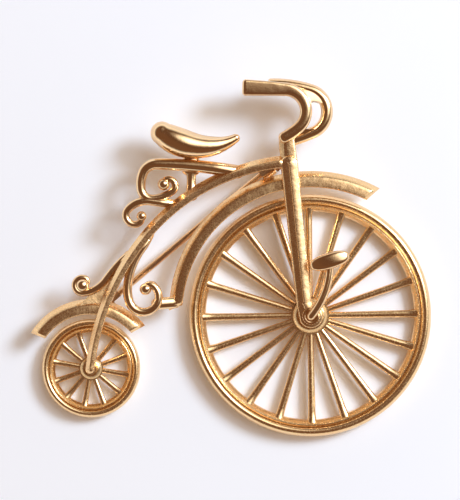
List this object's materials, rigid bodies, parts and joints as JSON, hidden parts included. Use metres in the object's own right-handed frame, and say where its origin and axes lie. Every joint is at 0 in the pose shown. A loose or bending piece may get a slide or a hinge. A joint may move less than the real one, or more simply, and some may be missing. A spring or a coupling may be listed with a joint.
{
  "type": "high-wheel bicycle brooch",
  "caption": "Gold-tone cast brooch in the form of a high-wheel bicycle with scrollwork, turning wheels, and a hinged pin with a turning safety catch on its back.",
  "frame": {"origin": "middle of the brooch's outline, on the surface that its back lies on", "axes": "+X from the small rear wheel to the large front wheel, +Y from the wheels to the handlebar, +Z out of the brooch's face"},
  "size_m": [0.0568, 0.0507, 0.008],
  "materials": {
    "satin_gold": "gold-tone plate over a cast surface, satin with fine grain on the front lands",
    "bright_gold": "gold-tone plate, polished",
    "finding_gold": "gold-tone plate over drawn wire and stamped findings"
  },
  "bodies": {
    "frame": {"fork": "satin_gold", "spine": "satin_gold", "front_mudguard": "satin_gold", "rear_mudguard": "satin_gold", "scroll_seat_rail": "bright_gold", "scroll_upper": "bright_gold", "scroll_rear": "bright_gold", "scroll_lower": "bright_gold", "saddle": "bright_gold", "seat_strut": "satin_gold", "seat_neck": "bright_gold", "gusset": "satin_gold", "handlebar_near": "bright_gold", "handlebar_far": "bright_gold", "stem": "satin_gold", "rear_axle": "bright_gold", "pin_hinge": "finding_gold", "hinge_rivet": "finding_gold", "catch_ring": "finding_gold"},
    "front_wheel": {"front_wheel": "satin_gold", "front_axle": "bright_gold", "crank": "bright_gold", "pedal": "bright_gold"},
    "rear_wheel": {"rear_wheel": "satin_gold"},
    "pin": {"pin_stem": "finding_gold"},
    "catch_barrel": {"catch_barrel": "finding_gold"}
  },
  "joints": [
    {"name": "front_wheel_turn", "type": "hinge", "parent": "frame", "child": "front_wheel", "pos_m": [0.01116, -0.00822, 0], "axis": [0, 0, 1], "continuous": true},
    {"name": "rear_wheel_turn", "type": "hinge", "parent": "frame", "child": "rear_wheel", "pos_m": [-0.01995, -0.01573, 0], "axis": [0, 0, 1], "continuous": true},
    {"name": "pin_swing", "type": "hinge", "parent": "frame", "child": "pin", "pos_m": [-0.01764, -0.00649, 0.00135], "axis": [-0.6417, 0.767, 0], "range_deg": [0, 100]},
    {"name": "catch_turn", "type": "hinge", "parent": "frame", "child": "catch_barrel", "pos_m": [0.00488, 0.01236, 0.00135], "axis": [0.767, 0.6417, 0], "range_deg": [0, 110]}
  ]
}
